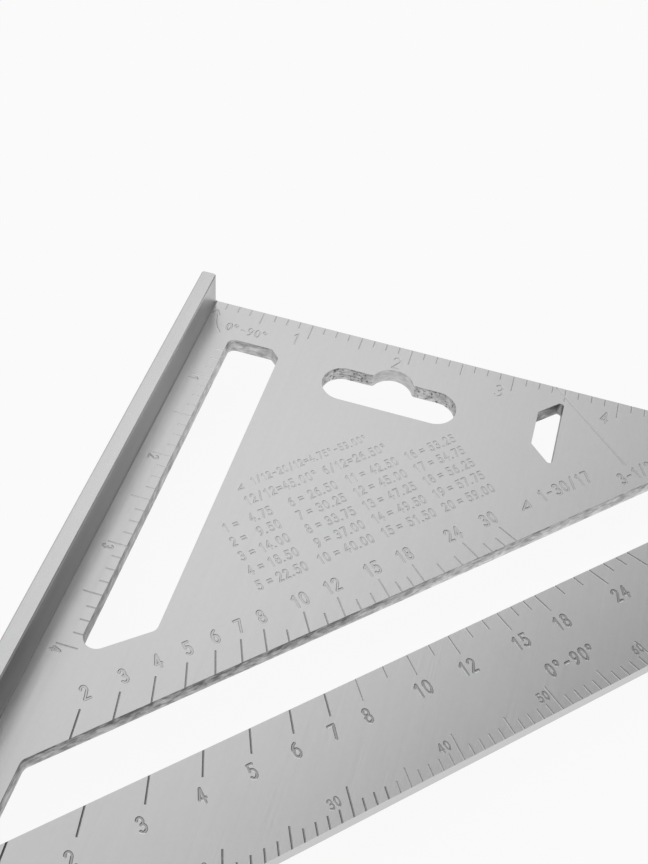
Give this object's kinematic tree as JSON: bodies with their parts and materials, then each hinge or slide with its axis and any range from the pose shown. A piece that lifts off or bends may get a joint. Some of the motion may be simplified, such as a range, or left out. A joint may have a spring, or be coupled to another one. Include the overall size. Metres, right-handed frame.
{
  "type": "rafter square",
  "caption": "Triangular aluminium rafter square with a T-shaped fence, engraved inch, degree and rise scales, a slanted window, a long slot and a hang slot.",
  "frame": {"origin": "the pivot corner, where the fence's inner face meets the scale edge, at the middle of the blade's thickness", "axes": "+X along the fence, away from the scale edge; +Y along the scale edge, away from the fence; +Z out of the blade's front face, the one with the rise scales"},
  "size_m": [0.185, 0.1859, 0.0214],
  "materials": {
    "blade": "satin, fine lines brushed parallel to the fence",
    "fence": "satin, fine lines brushed along its length"
  },
  "bodies": {
    "root": {"blade": "blade", "fence": "fence"}
  },
  "joints": []
}
